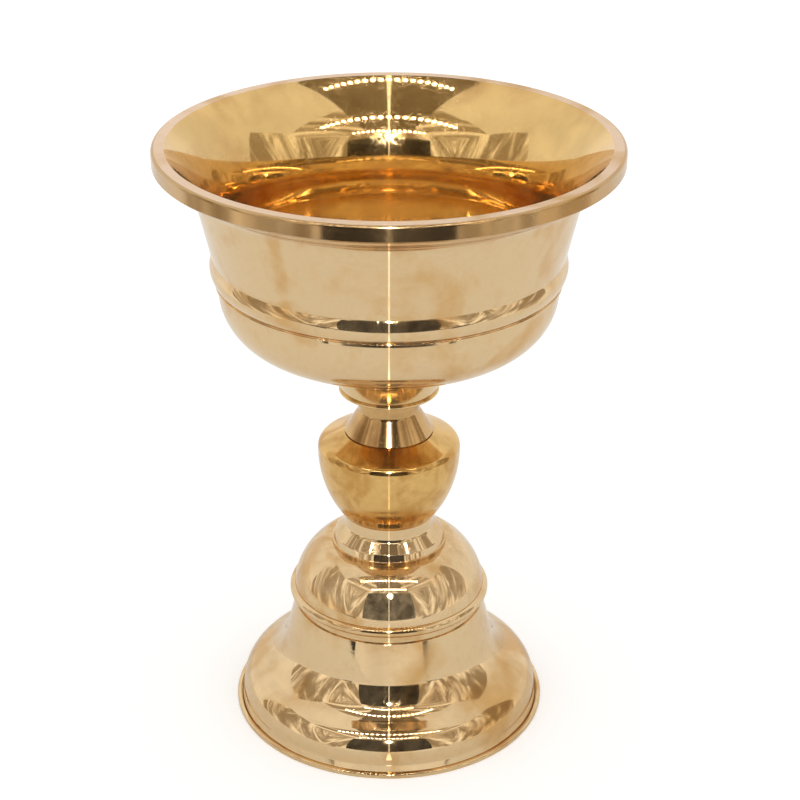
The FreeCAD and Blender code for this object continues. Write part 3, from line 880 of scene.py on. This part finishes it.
@dataclass
class Foot(Assembly):
    """Base ring, bell, bead ring and dome."""

    base_radius: float = 0.0506
    base_height: float = 0.0015
    base_bore_radius: float = 0.0440
    base_edge_round: float = 0.0005
    bell_seat: float = 0.0009
    bell_seam: float = 0.00015
    bell_foot_radius: float = 0.0492
    bell_skirt_radius: float = 0.0483
    bell_skirt_height: float = 0.0026
    bell_shoulder_height: float = 0.0096
    bell_shoulder_round: float = 0.0093
    bell_throat_radius: float = 0.0354
    bell_throat_height: float = 0.0167
    bell_throat_round: float = 0.0157
    bell_waist_radius: float = 0.0304
    bell_height: float = 0.0358
    bell_wall: float = 0.0018
    bell_top: float = 0.0020
    register_height: float = 0.0008
    bell_register_radius: float = 0.0253
    rod_hole_radius: float = 0.0043
    ring_height: float = 0.0062
    ring_band_radius: float = 0.0299
    ring_band_height: float = 0.0029
    ring_bead_radius: float = 0.0322
    ring_bead_round: float = 0.001584
    ring_bore_radius: float = 0.0255
    ring_register_radius: float = 0.0285
    dome_height: float = 0.0153
    dome_foot_radius: float = 0.0307
    dome_top_radius: float = 0.0209
    dome_round: float = 0.0208
    dome_wall: float = 0.0020

    def base_ring(self) -> bpy.types.Object:
        """Flat ring that the object stands on."""
        seat_radius = self.bell_foot_radius + self.bell_seam
        outline = Outline()
        outline.to(self.base_bore_radius, 0)
        outline.to(self.base_radius, 0)
        outline.to(self.base_radius, self.base_height, rounding=self.base_edge_round)
        outline.to(seat_radius, self.base_height)
        outline.to(seat_radius, self.bell_seat)
        outline.to(self.base_bore_radius, self.bell_seat)
        ring = Lathe().turn("base_ring_brass", outline, seat_of("base_ring"))
        return self.place(ring, "base_ring", Body.STAND, "foot_brass", [self.finishes.foot])

    def bell(self) -> bpy.types.Object:
        """Bell-shaped shell with a flat top, left as turned inside."""
        wall = self.bell_wall
        skirt = np.array((self.bell_skirt_radius, self.bell_skirt_height))
        shoulder = np.array((self.bell_skirt_radius, self.bell_shoulder_height))
        throat = np.array((self.bell_throat_radius, self.bell_throat_height))
        waist = np.array((self.bell_waist_radius, self.bell_height))
        inner_shoulder = inset(skirt, shoulder, throat, wall)
        inner_throat = inset(shoulder, throat, waist, wall)
        under_top = self.bell_height - self.bell_top
        register_top = self.bell_height + self.register_height
        rough = Zone.BAND
        outline = Outline()
        outline.to(self.bell_foot_radius, 0, zone=rough)
        outline.to(*skirt, rounding=0.002)
        outline.to(*shoulder, rounding=self.bell_shoulder_round)
        outline.to(*throat, rounding=self.bell_throat_round)
        outline.to(*waist)
        outline.to(self.bell_register_radius, self.bell_height)
        outline.to(self.bell_register_radius, register_top)
        outline.to(self.rod_hole_radius, register_top)
        outline.to(self.rod_hole_radius, under_top, zone=rough)
        outline.to(self.bell_waist_radius - wall, under_top, zone=rough, rounding=0.0008)
        outline.to(*inner_throat, rounding=self.bell_throat_round + wall, zone=rough)
        outline.to(*inner_shoulder, rounding=self.bell_shoulder_round - wall, zone=rough)
        outline.to(self.bell_skirt_radius - wall, self.bell_skirt_height, zone=rough)
        outline.to(self.bell_foot_radius - wall, 0, zone=rough)
        bell = Lathe().turn("foot_bell_brass", outline, seat_of("foot_bell"))
        finishes = [self.finishes.foot, self.finishes.rough_turned]
        return self.place(bell, "foot_bell", Body.STAND, "foot_brass", finishes)

    def bead_ring(self) -> bpy.types.Object:
        """Ring with a band below a round bead."""
        register_top = self.ring_height + self.register_height
        bead = self.ring_bead_round
        outline = Outline()
        outline.to(self.ring_bore_radius, 0)
        outline.to(self.ring_band_radius, 0)
        outline.to(self.ring_band_radius, self.ring_band_height)
        outline.to(self.ring_bead_radius, self.ring_band_height, rounding=bead)
        outline.to(self.ring_bead_radius, self.ring_height, rounding=bead)
        outline.to(self.ring_register_radius, self.ring_height)
        outline.to(self.ring_register_radius, register_top)
        outline.to(self.ring_bore_radius, register_top)
        ring = Lathe().turn("bead_ring_brass", outline, seat_of("bead_ring"))
        return self.place(ring, "bead_ring", Body.STAND, "foot_brass", [self.finishes.foot])

    def dome(self) -> bpy.types.Object:
        """Dome with a flat top under the collar."""
        under_top = self.dome_height - self.dome_wall
        outline = Outline()
        outline.to(self.dome_foot_radius, 0)
        outline.to(self.dome_top_radius, self.dome_height, bow=self.dome_round)
        outline.to(self.rod_hole_radius, self.dome_height)
        outline.to(self.rod_hole_radius, under_top)
        outline.to(self.dome_top_radius - self.dome_wall * 0.75, under_top)
        inner_bow = self.dome_wall - self.dome_round
        outline.to(self.dome_foot_radius - self.dome_wall, 0, bow=inner_bow)
        dome = Lathe().turn("foot_dome_brass", outline, seat_of("foot_dome"))
        return self.place(dome, "foot_dome", Body.STAND, "foot_brass", [self.finishes.dome])

    def build(self) -> None:
        """Build and dress every piece of the foot."""
        self.base_ring()
        self.bell()
        self.bead_ring()
        self.dome()


@dataclass
class Stem(Assembly):
    """Collar, knop and neck."""

    rod_hole_radius: float = 0.0043
    rod_radius: float = 0.0040
    collar_height: float = 0.0105
    collar_rim_radius: float = 0.0183
    collar_rim_height: float = 0.0010
    collar_cushion_radius: float = 0.0179
    collar_cushion_top: float = 0.0174
    collar_cushion_height: float = 0.0031
    collar_cushion_round: float = 0.0010
    collar_throat_radius: float = 0.0142
    collar_throat_height: float = 0.0064
    collar_throat_round: float = 0.0020
    knop_height: float = 0.0285
    knop_radius: float = 0.02245
    knop_foot_radius: float = 0.0146
    knop_crest_height: float = 0.0223
    knop_shoulder_drop: float = 0.0033
    knop_shoulder_round: float = 0.0027
    knop_land_radius: float = 0.0140
    neck_height: float = 0.0140
    neck_foot_radius: float = 0.01395
    neck_undercut_height: float = 0.0004
    neck_undercut_depth: float = 0.0008
    neck_radius: float = 0.0096
    neck_cone_height: float = 0.0078
    neck_round: float = 0.0020

    def collar(self) -> bpy.types.Object:
        """Cushion-shaped collar between the dome and the knop."""
        outline = Outline()
        outline.to(self.rod_hole_radius, 0)
        outline.to(self.collar_rim_radius, 0)
        outline.to(self.collar_rim_radius, self.collar_rim_height)
        outline.to(self.collar_cushion_radius, self.collar_rim_height)
        outline.to(
            self.collar_cushion_top,
            self.collar_cushion_height,
            rounding=self.collar_cushion_round,
        )
        outline.to(
            self.collar_throat_radius,
            self.collar_throat_height,
            rounding=self.collar_throat_round,
        )
        outline.to(self.collar_throat_radius, self.collar_height)
        outline.to(self.rod_hole_radius, self.collar_height)
        collar = Lathe(192).turn("lower_collar_brass", outline, seat_of("lower_collar"))
        finishes = [self.finishes.foot]
        return self.place(collar, "lower_collar", Body.STAND, "stem_brass", finishes)

    def knop(self) -> bpy.types.Object:
        """Knob of the stem, a belly that swells to a crest under a sloping shoulder."""
        swell = self.knop_radius - self.knop_foot_radius
        belly = (self.knop_crest_height**2 + swell**2) / (swell * 2)
        outline = Outline()
        outline.to(self.rod_hole_radius, 0)
        outline.to(self.knop_foot_radius, 0)
        outline.to(self.knop_radius, self.knop_crest_height, bow=belly)
        outline.to(
            self.knop_radius,
            self.knop_height - self.knop_shoulder_drop,
            rounding=self.knop_shoulder_round,
        )
        outline.to(self.knop_land_radius, self.knop_height)
        outline.to(self.rod_hole_radius, self.knop_height)
        knop = Lathe().turn("knop_brass_piece", outline, seat_of("knop"))
        return self.place(knop, "knop", Body.STAND, "stem_brass", [self.finishes.knop])

    def neck(self) -> bpy.types.Object:
        """Neck with visible turning marks and an undercut foot."""
        undercut_radius = self.neck_foot_radius - self.neck_undercut_depth
        outline = Outline()
        outline.to(self.rod_radius, 0)
        outline.to(undercut_radius, 0)
        outline.to(undercut_radius, self.neck_undercut_height)
        outline.to(self.neck_foot_radius, self.neck_undercut_height)
        outline.to(self.neck_radius, self.neck_cone_height, rounding=self.neck_round)
        outline.to(self.neck_radius, self.neck_height)
        outline.to(self.rod_radius, self.neck_height)
        neck = Lathe(192).turn("neck_cone_brass", outline, seat_of("neck_cone"))
        return self.place(neck, "neck_cone", Body.STAND, "stem_brass", [self.finishes.neck])

    def build(self) -> None:
        """Build and dress every piece of the stem."""
        self.collar()
        self.knop()
        self.neck()


@dataclass
class Bowl(Assembly):
    """Calyx, bush and the bowl itself."""

    bush_radius: float = 0.0075
    calyx_height: float = 0.0129
    calyx_lip_radius: float = 0.0157
    calyx_lip_height: float = 0.0010
    calyx_lip_drop: float = 0.0006
    calyx_top_radius: float = 0.0230
    calyx_flare_round: float = 0.0340
    calyx_wall: float = 0.0024
    wall: float = 0.0026
    height: float = 0.0679
    foot_radius: float = 0.0236
    waist_radius: float = 0.0521
    corner_radius: float = 0.0508
    corner_height: float = 0.0098
    corner_round: float = 0.0175
    line_radius: float = 0.0528
    line_height: float = 0.0248
    line_top: float = 0.0257
    bead_foot_radius: float = 0.0524
    bead_foot: float = 0.0260
    bead_top_radius: float = 0.0534
    bead_top: float = 0.0334
    bead_round: float = 0.0060
    flare_radius: float = 0.0589
    flare_height: float = 0.0571
    flare_round: float = 0.0060
    rim_radius: float = 0.0700
    band_height: float = 0.0046
    band_chamfer: float = 0.0005
    lip_width: float = 0.0039
    lip_edge_round: float = 0.0009
    lip_roll_width: float = 0.0087
    lip_roll_drop: float = 0.0108
    lip_roll_round: float = 0.0647
    lip_sweep_rise: float = 0.0018

    def calyx(self) -> bpy.types.Object:
        """Small flared cup under the bowl, with a rounded lip."""
        lip_foot = self.calyx_lip_radius - self.calyx_lip_drop
        lip_round = self.calyx_lip_height / 2 * 0.96
        outline = Outline()
        outline.to(self.bush_radius, 0)
        outline.to(self.calyx_lip_radius, 0, rounding=lip_round)
        outline.to(self.calyx_lip_radius, self.calyx_lip_height, rounding=lip_round)
        outline.to(lip_foot, self.calyx_lip_height)
        outline.to(self.calyx_top_radius, self.calyx_height, bow=-self.calyx_flare_round)
        outline.to(self.calyx_top_radius - self.calyx_wall, self.calyx_height)
        inner_bow = self.calyx_flare_round + self.calyx_wall
        outline.to(lip_foot - self.calyx_wall, self.calyx_wall, bow=inner_bow)
        outline.to(self.bush_radius, self.calyx_wall)
        calyx = Lathe(192).turn("calyx_brass_piece", outline, seat_of("calyx"))
        return self.place(calyx, "calyx", Body.BOWL, "bowl_brass", [self.finishes.calyx])

    def shell(self) -> bpy.types.Object:
        """Bowl with a rounded corner, fine lines, a bead and a flared lip."""
        sweep_radius = self.bead_top_radius - self.wall
        run, rise = self.corner_radius - self.foot_radius, self.corner_height
        lift = self.wall * (math.hypot(run, rise) - rise) / run
        band_foot = self.height - self.band_height
        lip_edge = self.rim_radius - self.lip_width
        roll_radius = lip_edge - self.lip_roll_width
        roll_height = self.height - self.lip_roll_drop
        chord = math.hypot(roll_radius - sweep_radius, roll_height - self.bead_top)
        sweep_round = chord**2 / (8 * self.lip_sweep_rise) + self.lip_sweep_rise / 2
        inside = Zone.INSIDE
        outline = Outline()
        outline.to(0, 0)
        outline.to(self.foot_radius, 0)
        outline.to(self.corner_radius, self.corner_height, rounding=self.corner_round)
        outline.to(self.waist_radius, self.line_height)
        outline.to(self.line_radius, self.line_height)
        outline.to(self.line_radius, self.line_top)
        outline.to(self.bead_foot_radius, self.line_top)
        outline.to(self.bead_foot_radius, self.bead_foot)
        outline.to(self.bead_top_radius, self.bead_top, bow=self.bead_round)
        outline.to(self.flare_radius, self.flare_height, rounding=self.flare_round)
        outline.to(self.rim_radius - self.band_chamfer, band_foot - self.band_chamfer)
        outline.to(self.rim_radius, band_foot, zone=Zone.BAND)
        outline.to(
            self.rim_radius, self.height, rounding=self.lip_edge_round, zone=Zone.BAND
        )
        outline.to(lip_edge, self.height, zone=Zone.LIP)
        outline.to(
            roll_radius,
            roll_height,
            bow=self.lip_roll_round,
            rounding=0.002,
            zone=inside,
        )
        outline.to(
            sweep_radius,
            self.bead_top,
            bow=sweep_round,
            rounding=0.006,
            zone=inside,
        )
        outline.to(
            self.corner_radius - self.wall,
            self.corner_height + lift,
            rounding=self.corner_round - self.wall,
            zone=inside,
        )
        outline.to(self.foot_radius, self.wall, zone=inside, rounding=0.02)
        outline.to(0, self.wall, zone=inside)
        shell = Lathe(320).turn("bowl_brass_piece", outline, seat_of("bowl"))
        finishes = [
            self.finishes.bowl_outside,
            self.finishes.rim_band,
            self.finishes.rim_lip,
            self.finishes.bowl_inside,
        ]
        return self.place(shell, "bowl", Body.BOWL, "bowl_brass", finishes)

    def build(self) -> None:
        """Build and dress every piece that lifts off with the bowl."""
        self.calyx()
        self.shell()
        self.dress("boss_bush", self.finishes.rough_turned)


@dataclass
class Fasteners(Assembly):
    """Threaded rod with its washers and nut, and the fibre washer under the bowl."""

    thread_pitch: float = 0.00125
    thread_depth: float = 0.00068
    rod_radius: float = 0.0040
    chamfer: float = 0.0008
    thread_length_low: float = 0.0175
    thread_length_high: float = 0.0165
    segments: int = 72

    def rod(self) -> bpy.types.Object:
        """Rod with a real thread cut at both ends."""
        low, high = (float(corner.z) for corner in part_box("tie_rod"))
        step = self.thread_pitch / 14
        heights = list(np.arange(low, low + self.thread_length_low, step))
        heights += list(np.arange(high - self.thread_length_high, high, step)) + [high]
        vertices: list[tuple[float, float, float]] = [(0.0, 0.0, low)]
        for z in heights:
            for j in range(self.segments):
                angle = 2 * math.pi * j / self.segments
                radius = self._thread_radius(z, angle, low, high)
                vertices.append((radius * math.cos(angle), radius * math.sin(angle), z))
        vertices.append((0.0, 0.0, high))
        faces = []
        last = len(vertices) - 1
        top = 1 + (len(heights) - 1) * self.segments
        for j in range(self.segments):
            k = (j + 1) % self.segments
            faces.append([0, 1 + k, 1 + j])
            faces.append([last, top + j, top + k])
            for i in range(len(heights) - 1):
                a = 1 + i * self.segments
                b = a + self.segments
                faces.append([a + j, a + k, b + k, b + j])
        rod = mesh_object("tie_rod_steel", vertices, faces)
        finishes = [self.finishes.steel]
        return self.place(rod, "tie_rod", Body.STAND, "steel", finishes)

    def _thread_radius(self, z: float, angle: float, low: float, high: float) -> float:
        """Radius of the thread's surface at a height and an angle."""
        phase = (z / self.thread_pitch - angle / (2 * math.pi)) % 1.0
        ramp = min(1.0, max(0.0, abs(phase - 0.5) * 2 * 1.25 - 0.12))
        radius = self.rod_radius - self.thread_depth * (1.0 - ramp)
        inset = self.chamfer * (1 - min(1.0, min(z - low, high - z) / self.chamfer))
        run_out = min(z - low - self.thread_length_low, high - self.thread_length_high - z)
        if run_out > -0.001:
            radius = self.rod_radius
        return min(radius, self.rod_radius - inset)

    def build(self) -> None:
        """Build the rod and dress the washers and the nut."""
        self.rod()
        for node in ("plain_washer", "spring_washer", "hex_nut"):
            self.dress(node, self.finishes.steel)
        self.dress("seat_washer", self.finishes.fibre)


# ---------------------------------------------------------------- studio


@dataclass
class Studio:
    """Pale floor, the light tent that the metal mirrors, its lamps and the camera."""

    front: float = -0.380
    back: float = 0.450
    side: float = 0.400
    folds_back: float = 0.110
    ceiling: float = 0.440
    opening_half: float = 0.215
    opening_top: float = 0.395
    table_front: float = -0.291
    lamp_rows: tuple[tuple[float, float, int], ...] = (
        (-0.335, 0.023, 15),
        (-0.190, 0.023, 21),
        (-0.020, 0.0096, 19),
    )
    lamp_drop: float = 0.012
    lamp_sides: int = 12
    lamp_strength: float = 22.0
    seam_half: float = 0.003
    seam_strength: float = 2.2
    seam_near: float = -0.056
    seam_far: float = 0.100
    seam_distance: float = -0.600
    seam_ends: tuple[float, float] = (-0.500, 0.700)
    floor_reach: float = 12.0
    floor_glow: float = 0.26
    dark_roof_half: float = 0.110
    dark_roof_back: float = 0.030
    folded_roof_back: float = -0.120
    table_edge: float = 0.024
    flash_size: float = 0.030
    flash_energy: float = 2.5
    flash_tilt: float = 58.0
    flash_place: tuple[float, float, float] = (0.0, -0.575, 0.494)
    camera_place: tuple[float, float, float] = (0.0, -0.5685, 0.3843)
    camera_tilt: float = 64.04
    camera_lens: float = 90.95
    camera_shift: float = 0.01375

    def build(self) -> None:
        """Set up everything round the object."""
        self._world()
        self._floor()
        self._table()
        self._tent()
        self._lamps()
        self._seam()
        self._roof_gap()
        self._flash()
        self._camera()

    @staticmethod
    def _level(half: float, near: float, far: float, height: float) -> Corners:
        """Corners of a level sheet, as wide on both sides of the middle."""
        return [(-half, near, height), (half, near, height), (half, far, height), (-half, far, height)]

    @staticmethod
    def _upright(x: tuple[float, float], y: tuple[float, float], low: float, high: float) -> Corners:
        """Corners of an upright sheet that runs from one spot on the table to another."""
        return [(x[0], y[0], low), (x[1], y[1], low), (x[1], y[1], high), (x[0], y[0], high)]

    @staticmethod
    def _quad(name: str, corners: Sequence[Sequence[float]]) -> bpy.types.Object:
        """One flat four-cornered sheet."""
        return mesh_object(name, corners, [[0, 1, 2, 3]])

    @staticmethod
    def _glow(name: str) -> tuple[bpy.types.Material, Graph, bpy.types.Node]:
        """A material that gives off light, with its graph and its emission node."""
        material = bpy.data.materials.new(name)
        material.use_nodes = True
        material.node_tree.nodes.clear()
        material.cycles.emission_sampling = "NONE"
        graph = Graph(material.node_tree)
        emission = graph.add("ShaderNodeEmission")
        output = graph.add("ShaderNodeOutputMaterial")
        graph.feed(output.inputs["Surface"], emission.outputs["Emission"])
        return material, graph, emission

    @staticmethod
    def _only_mirrored(thing: bpy.types.Object) -> None:
        """Let only mirroring surfaces see a sheet."""
        thing.visible_camera = False
        thing.visible_diffuse = False
        thing.visible_shadow = False
        thing.visible_transmission = False

    def _world(self) -> None:
        """White surroundings, dark where the metal would mirror them past the tent."""
        world = bpy.data.worlds.new("white_room")
        world.use_nodes = True
        world.node_tree.nodes.clear()
        graph = Graph(world.node_tree)
        light = graph.add("ShaderNodeBackground")
        ray = graph.add("ShaderNodeLightPath")
        output = graph.add("ShaderNodeOutputWorld")
        dark = (0.022, 0.018, 0.015)
        shade = graph.blend(ray.outputs["Is Glossy Ray"], (1.0, 1.0, 1.0), dark)
        graph.feed(light.inputs["Color"], shade)
        graph.feed(output.inputs["Surface"], light.outputs["Background"])
        bpy.context.scene.world = world

    def _floor(self) -> None:
        """Pale floor, which the camera sees from above and looks through from below."""
        material = bpy.data.materials.new("pale_floor")
        material.use_nodes = True
        shader = material.node_tree.nodes["Principled BSDF"]
        shader.inputs["Base Color"].default_value = (0.86, 0.86, 0.855, 1.0)
        shader.inputs["Roughness"].default_value = 0.9
        shader.inputs["Specular IOR Level"].default_value = 0.0
        shader.inputs["Emission Color"].default_value = (1.0, 1.0, 1.0, 1.0)
        shader.inputs["Emission Strength"].default_value = self.floor_glow
        graph = Graph(material.node_tree)
        clear = graph.add("ShaderNodeBsdfTransparent")
        side = graph.add("ShaderNodeNewGeometry")
        pick = graph.add("ShaderNodeMixShader")
        graph.feed(pick.inputs[0], side.outputs["Backfacing"])
        graph.feed(pick.inputs[1], shader.outputs["BSDF"])
        graph.feed(pick.inputs[2], clear.outputs["BSDF"])
        graph.feed(material.node_tree.nodes["Material Output"].inputs["Surface"], pick.outputs[0])
        reach = self.floor_reach
        floor = self._quad("floor", self._level(reach, -reach, reach, 0))
        floor.data.materials.append(material)
        floor.visible_glossy = False

    def _table(self) -> None:
        """White table-top, which ends at the front of the tent and shows only in the metal."""
        material = bpy.data.materials.new("white_table")
        material.use_nodes = True
        shader = material.node_tree.nodes["Principled BSDF"]
        shader.inputs["Base Color"].default_value = (0.88, 0.88, 0.87, 1.0)
        shader.inputs["Roughness"].default_value = 0.9
        shader.inputs["Specular IOR Level"].default_value = 0.0
        low = -0.0002
        table = self._quad("table_top", self._level(self.side, self.table_front, self.back, low))
        table.data.materials.append(material)
        self._only_mirrored(table)

    def _tent(self) -> None:
        """White cloth walls and roof, with an opening at the front."""
        side, front, back, roof = self.side, self.front, self.back, self.ceiling
        half, top = self.opening_half, self.opening_top
        plain = self._plain_cloth()
        folded = self._folded_cloth()
        near, split = self.folds_back, self.folded_roof_back
        edge, rise = self.table_front, self.table_edge
        wall, full = (front, front), (0, roof)
        sheets = {
            "tent_roof": (self._level(side, split, back, roof), plain),
            "folds_roof": (self._level(side, front, split, roof), folded),
            "table_edge": (self._upright((-half, half), (edge, edge), 0, rise), plain),
            "tent_back": (self._upright((-side, side), (back, back), *full), plain),
            "tent_left": (self._upright((-side, -side), (near, back), *full), plain),
            "tent_right": (self._upright((side, side), (near, back), *full), plain),
            "folds_left": (self._upright((-side, -side), (front, near), *full), folded),
            "folds_right": (self._upright((side, side), (front, near), *full), folded),
            "tent_front_top": (self._upright((-half, half), wall, top, roof), folded),
            "tent_front_left": (self._upright((-side, -half), wall, *full), folded),
            "tent_front_right": (self._upright((half, side), wall, *full), folded),
        }
        for name, (corners, material) in sheets.items():
            sheet = self._quad(name, corners)
            sheet.data.materials.append(material)
            self._only_mirrored(sheet)

    def _plain_cloth(self) -> bpy.types.Material:
        """Evenly lit cloth with slow changes in brightness."""
        material, graph, emission = self._glow("plain_cloth")
        shade = graph.noise(graph.place(), 4.0, 2.0, 0.5)
        emission.inputs["Color"].default_value = (1.0, 0.985, 0.96, 1.0)
        graph.feed(emission.inputs["Strength"], graph.span(shade, 0.2, 0.8, 0.85, 1.1))
        return material

    def _folded_cloth(self) -> bpy.types.Material:
        """Loose cloth beside the opening, with bright folds between shaded ones."""
        material, graph, emission = self._glow("folded_cloth")
        x, y, z = graph.split(graph.place())
        run = graph.math("SUBTRACT", graph.math("ABSOLUTE", x), y)
        lean = graph.math("MULTIPLY", z, 0.45)
        across = graph.math("MULTIPLY", graph.math("ADD", run, lean), 11.0)
        point = graph.join(across, graph.math("MULTIPLY", x, 2.0), graph.math("MULTIPLY", z, 2.6))
        folds = graph.noise(point, 1.0, 3.5, 0.6, 0.8)
        bright = graph.span(folds, 0.38, 0.66, 0.0, 1.0)
        tint = graph.blend(bright, (0.62, 0.50, 0.36), (1.0, 0.97, 0.92))
        graph.feed(emission.inputs["Color"], tint)
        graph.feed(emission.inputs["Strength"], graph.span(bright, 0.0, 1.0, 0.62, 1.3))
        return material

    def _lamps(self) -> None:
        """Rows of small round lamps under the roof."""
        material, _, emission = self._glow("small_lamp")
        emission.inputs["Strength"].default_value = self.lamp_strength
        for number, (y, gap, count) in enumerate(self.lamp_rows):
            vertices, faces = [], []
            for i in range(count):
                middle = (i - (count - 1) / 2) * gap
                first = len(vertices)
                for j in range(self.lamp_sides):
                    angle = 2 * math.pi * j / self.lamp_sides
                    across = middle + gap * 0.27 * math.cos(angle)
                    along = y + gap * 0.42 * math.sin(angle)
                    vertices.append((across, along, self.ceiling - self.lamp_drop))
                faces.append(list(range(first, first + self.lamp_sides)))
            row = mesh_object(f"lamp_row_{number}", vertices, faces)
            row.data.materials.append(material)
            self._only_mirrored(row)

    def _seam(self) -> None:
        """Bright strip straight ahead, from the table over the opening to the roof."""
        material, _, emission = self._glow("bright_seam")
        emission.inputs["Strength"].default_value = self.seam_strength
        half, low, high = self.seam_half, 0.0006, self.ceiling - 0.001
        away = self.seam_distance
        strips = {
            "seam_table": self._level(half * 0.4, self.table_front, self.seam_near, low),
            "seam_opening": self._upright((-half, half), (away, away), *self.seam_ends),
            "seam_roof": self._level(half, self.front, self.seam_far, high),
        }
        for name, corners in strips.items():
            strip = self._quad(name, corners)
            strip.data.materials.append(material)
            self._only_mirrored(strip)

    def _roof_gap(self) -> None:
        """Dark part of the roof between the opening and the middle."""
        shaded, _, faint = self._glow("shaded_gap")
        faint.inputs["Color"].default_value = (0.20, 0.155, 0.11, 1.0)
        under = self.ceiling - 0.0005
        corners = self._level(self.dark_roof_half, self.front, self.dark_roof_back, under)
        gap = self._quad("roof_gap", corners)
        gap.data.materials.append(shaded)
        self._only_mirrored(gap)

    def _flash(self) -> None:
        """Small strong lamp just above the camera."""
        data = bpy.data.lights.new("flash", "AREA")
        data.shape = "DISK"
        data.size = self.flash_size
        data.energy = self.flash_energy
        lamp = bpy.data.objects.new("flash", data)
        lamp.location = self.flash_place
        lamp.rotation_euler = (math.radians(self.flash_tilt), 0.0, 0.0)
        lamp.visible_camera = False
        lamp.visible_diffuse = False
        bpy.context.scene.collection.objects.link(lamp)

    def _camera(self) -> None:
        """Camera in front of the object, looking down at it."""
        data = bpy.data.cameras.new("camera")
        data.lens = self.camera_lens
        data.sensor_width = 36.0
        data.shift_x = self.camera_shift
        camera = bpy.data.objects.new("camera", data)
        camera.location = self.camera_place
        camera.rotation_euler = (math.radians(self.camera_tilt), 0.0, 0.0)
        bpy.context.scene.collection.objects.link(camera)
        bpy.context.scene.camera = camera


# ---------------------------------------------------------------- assembly


def main() -> None:
    """Build the studio and the object, and set the standard view transform."""
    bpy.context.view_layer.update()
    finishes = Finishes()
    Studio().build()
    Foot(finishes).build()
    Stem(finishes).build()
    Bowl(finishes).build()
    Fasteners(finishes).build()
    bpy.context.scene.view_settings.view_transform = "Standard"


if __name__ == "__main__":
    main()
